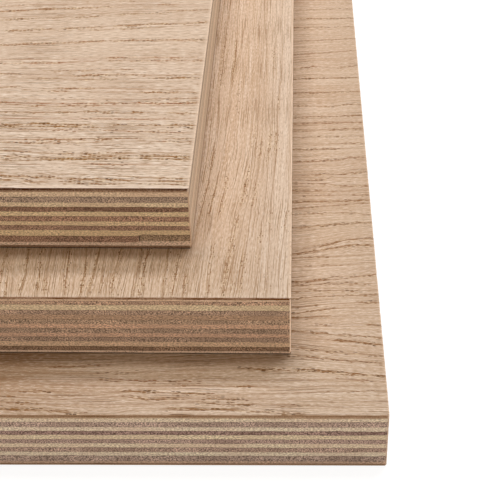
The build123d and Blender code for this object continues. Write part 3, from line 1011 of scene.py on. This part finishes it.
sheetPlan = {  # tints of the eleven core plies from the face down, as they show on the front edge
    "bottom_sheet": {
        "figure": bottomFigure, "greyness": 0.8, "sandedHighlight": ((202, 173, 146), (168, 139, 114)),
        "plies": [(225, 190, 161), (175, 143, 122), (229, 193, 165), (147, 113, 97), (220, 189, 156),
                  (168, 135, 116), (225, 191, 161), (173, 139, 117), (227, 196, 168), (169, 140, 120),
                  (191, 159, 134)],
        "face": {"pale": (209, 182, 156), "deep": (199, 169, 142), "shift": 7.0, "wander": 0.3, "cloud": 0.05,
                 "arrisHighlightTone": 0.1, "rubbed": 0.1, "rimTint": (190, 148, 110),
                 "nap": 0.55, "napSize": (1.6, 0.3),
                 "leans": [("along", -96.0, -60.0, 0.85, (172, 136, 103)),
                           ("across", 2.0, 14.0, 0.12, (240, 220, 200))],
                 "calm": (10.0, 60.0, 0.96, 0.88), "fibre": 0.7, "fibreTint": (170, 137, 104),
                 "hairTint": (126, 92, 60), "hairTone": 1.3, "speckTone": 0.4, "bandWidth": 1.0,
                 "bandTone": 0.06, "lineWidth": 0.19, "lineReach": 1.4, "poreSize": (1.2, 0.25),
                 "olive": (140, 102, 58), "russet": (146, 100, 64), "umber": (100, 70, 44)},
        "edge": {"pale": (194, 158, 124), "deep": (168, 134, 104), "darkAndShade": (120, 86, 56), "darkAndShadeLeast": 0.45,
                 "darkAndShadeMost": 0.95},
        "back": {"pale": (190, 156, 124), "deep": (164, 132, 104), "darkAndShade": (118, 86, 58), "darkAndShadeLeast": 0.5,
                 "darkAndShadeMost": 0.9}},
    "middle_sheet": {
        "figure": middleFigure, "greyness": 0.2, "sandedHighlight": ((236, 210, 182), (214, 182, 152)),
        "plies": [(175, 141, 114), (220, 186, 149), (169, 139, 114), (177, 144, 115), (168, 139, 112),
                  (199, 161, 131), (164, 136, 111), (196, 159, 130), (161, 133, 109), (204, 171, 137),
                  (140, 110, 84)],
        "face": {"pale": (219, 191, 165), "deep": (209, 179, 152), "shift": 13.0, "cloud": 0.05,
                 "arrisHighlightTone": 0.15,
                 "leans": [("across", -60.0, -12.0, 0.25, (205, 172, 138)),
                           ("across", 0.0, -13.0, 0.38, (242, 224, 206))],
                 "calm": (-32.0, -8.0, 1.0, 0.82), "fibre": 0.75, "fibreSize": (45.0, 0.25),
                 "fibreTint": (178, 140, 100), "gleam": 0.6, "nap": 0.52, "napSize": (1.9, 0.3), "hairs": 0.6,
                 "hairSize": (26.0, 0.26), "hairTone": 1.4, "hairTint": (148, 111, 74), "poreGain": 0.42,
                 "poreSize": (0.9, 0.24), "bandTone": 0.08, "lineWidth": 0.15, "lineReach": 1.4,
                 "lineStretch": 2.5, "speckTone": 0.4, "olive": (144, 105, 62), "russet": (151, 106, 68),
                 "umber": (120, 85, 53)},
        "edge": {"pale": (236, 202, 168), "deep": (204, 168, 134), "darkAndShade": (108, 62, 22), "darkAndShadeFrom": 0.38,
                 "darkAndShadeTo": 0.56, "darkAndShadeLeast": 0.55},
        # dark band at the foot: painted shadow of the gap under the sheet; side tint: painted sheen
        "back": {"pale": (232, 198, 166), "deep": (206, 172, 140), "side": (180, 152, 126),
                 "darkAndShade": (34, 12, 2), "darkAndShadeFrom": 0.38, "darkAndShadeTo": 0.16, "darkAndShadeLeast": 0.9}},
    "top_sheet": {
        "figure": topFigure, "greyness": 0.2, "sandedHighlight": ((196, 163, 133), (169, 137, 107)),
        "plies": [(222, 182, 148), (158, 132, 109), (218, 183, 147), (132, 99, 77), (213, 181, 140),
                  (158, 122, 97), (213, 180, 140), (155, 121, 97), (212, 179, 137), (146, 112, 88),
                  (208, 176, 146)],
        "rightStrip": (148, 121, 93),  # beyond the butt joint
        "face": {}, "edge": {},
        # dark band at the foot: painted shadow of the gap under the sheet; side tint: painted sheen
        "back": {"pale": (146, 112, 84), "deep": (128, 96, 70), "side": (176, 148, 122), "darkAndShade": (38, 14, 2),
                 "darkAndShadeFrom": 0.34, "darkAndShadeTo": 0.14, "darkAndShadeLeast": 0.9}},
}
backSeed = 10  # keeps the figure of a back apart from that of a face

for seed, (name, plan) in enumerate(sheetPlan.items()):
    jointed = "rightStrip" in plan
    sheet = readSheet(name, jointed)
    # corners: sanded fuzz with a painted highlight
    sheet["sandedHighlight"] = makeSandedHighlight(name + "_sanded", *plan["sandedHighlight"])
    grainOf = {"x": "xy", "y": "yx"}[plan["figure"]["grain"]]  # odd plies follow the face, even ones cross it
    for number, tint in enumerate(plan["plies"], 1):
        grain = grainOf[(number - 1) % 2]
        if jointed and number == butt["ply"]:
            makePly(sheet, number, tint, grain, plan, "left_strip")
            makePly(sheet, number, plan["rightStrip"], grain, plan, "right_strip")
        else:
            makePly(sheet, number, tint, grain, plan)
    oak = makeOakFace(name + "_oak", {**oakLook, **plan["face"]})
    edge = makeVeneerEdge(name + "_veneerEdge", {**veneerEdgeLook, **plan["edge"]})
    makeVeneer(sheet, plan["figure"], oak, edge, True, seed)
    backEdge = makeVeneerEdge(name + "_backEdge", {**veneerEdgeLook, **plan["back"]})
    makeVeneer(sheet, plan["figure"], oak, backEdge, False, seed + backSeed)
    print(name, "dressed")


# floor, light and camera

floorLook = {"size": 3.0, "drop": 0.0002, "matt": 0.8, "shadow": 0.26, "white": 0.9}  # metres and grey levels
sky = {"level": 0.175, "tint": (1.0, 0.85, 0.6)}  # warm, as light that woods throw on each other
lamps = [  # soft boxes: power, tint, width and depth, place and what they point at, in metres
    {"name": "overhead", "power": 5.8, "tint": (1.0, 0.985, 0.95), "size": (0.9, 0.22),
     "place": (0.06, 0.16, 1.2), "aim": (0.06, -0.1, 0.03)},
    {"name": "behind", "power": 5.15, "tint": (0.97, 1.0, 1.08), "size": (0.9, 0.15),
     "place": (0.2, 0.42, 0.95), "aim": (0.2, -0.1, 0.03)},
    {"name": "front", "power": 6.4, "tint": (1.0, 1.0, 1.06), "size": (1.0, 0.24),
     "place": (0.0, -1.5, 0.14), "aim": (0.0, -0.1, 0.03)},
    {"name": "right", "power": 10.5, "tint": (1.0, 1.0, 1.02), "size": (1.0, 0.24),
     "place": (1.5, 0.0, 0.14), "aim": (0.05, 0.0, 0.03)},
]
view = {  # mm and degrees
    "lens": 93.8, "place": (126.3, -372.0, 232.5), "yaw": -2.11, "pitch": 36.89, "roll": -1.40}


def seenDirectly(tree):  # by the camera, in a reflection or through glass
    path = addNode(tree, "ShaderNodeLightPath")
    inMirror = calc("MAXIMUM", path["Is Glossy Ray"], path["Is Transmission Ray"])
    return calc("MAXIMUM", path["Is Camera Ray"], inMirror)


def grey(level):
    return (level, level, level, 1)


def makeFloor():
    size = floorLook["size"]
    mesh = bpy.data.meshes.new("floor")
    corners = [(-size, -size, 0), (size, -size, 0), (size, size, 0), (-size, size, 0)]
    mesh.from_pydata(corners, [], [(0, 1, 2, 3)])
    material = bpy.data.materials.new("paleFloor")
    material.use_nodes = True
    tree = material.node_tree
    tree.nodes.clear()
    matt = addNode(tree, "ShaderNodeBsdfDiffuse", {"Color": grey(floorLook["matt"])})
    faint = addNode(tree, "ShaderNodeBsdfDiffuse", {"Color": grey(floorLook["shadow"])})
    white = addNode(tree, "ShaderNodeEmission", {"Color": grey(1), "Strength": floorLook["white"]})
    both = feed("ShaderNodeAddShader", {0: faint[0], 1: white[0]})
    choice = feed("ShaderNodeMixShader", {0: seenDirectly(tree), 1: matt[0], 2: both[0]})
    feed("ShaderNodeOutputMaterial", {"Surface": choice[0]})
    mesh.materials.append(material)
    floor = bpy.data.objects.new("floor", mesh)
    floor.location.z = cadBox[0][2] - floorLook["drop"]
    bpy.context.collection.objects.link(floor)


def makeLight():
    world = bpy.data.worlds.new("studio")
    world.use_nodes = True
    tree = world.node_tree
    tree.nodes.clear()
    seen = seenDirectly(tree)
    strength = feed("ShaderNodeMapRange", {0: seen, 3: sky["level"], 4: 1.0})[0]
    tint = blendColours(seen, (*sky["tint"], 1.0), grey(1))
    around = feed("ShaderNodeBackground", {"Color": tint, "Strength": strength})
    feed("ShaderNodeOutputWorld", {"Surface": around[0]})
    bpy.context.scene.world = world
    for lamp in lamps:
        data = bpy.data.lights.new(lamp["name"], "AREA")
        data.energy = lamp["power"]
        data.color = lamp["tint"]
        data.shape = "RECTANGLE"
        data.size, data.size_y = lamp["size"]
        box = bpy.data.objects.new(lamp["name"], data)
        box.location = lamp["place"]
        box.rotation_euler = (Vector(lamp["aim"]) - box.location).to_track_quat("-Z", "Y").to_euler()
        box.visible_camera = False
        bpy.context.collection.objects.link(box)


def makeCamera():
    yaw, pitch, roll = (math.radians(view[turn]) for turn in ("yaw", "pitch", "roll"))
    ahead = Vector((math.sin(yaw) * math.cos(pitch), math.cos(yaw) * math.cos(pitch), -math.sin(pitch)))
    level = Vector((math.cos(yaw), -math.sin(yaw), 0))
    above = level.cross(ahead)
    right = level * math.cos(roll) + above * math.sin(roll)
    up = above * math.cos(roll) - level * math.sin(roll)
    data = bpy.data.cameras.new("camera")
    data.lens = view["lens"]
    data.clip_start = 0.01
    camera = bpy.data.objects.new("camera", data)
    turn = Matrix((right, up, -ahead)).transposed().to_4x4()
    camera.matrix_world = Matrix.Translation(Vector(view["place"]) * mm) @ turn
    bpy.context.collection.objects.link(camera)
    bpy.context.scene.camera = camera


makeFloor()
makeLight()
makeCamera()
bpy.context.scene.view_settings.view_transform = "Standard"
print("stage set")
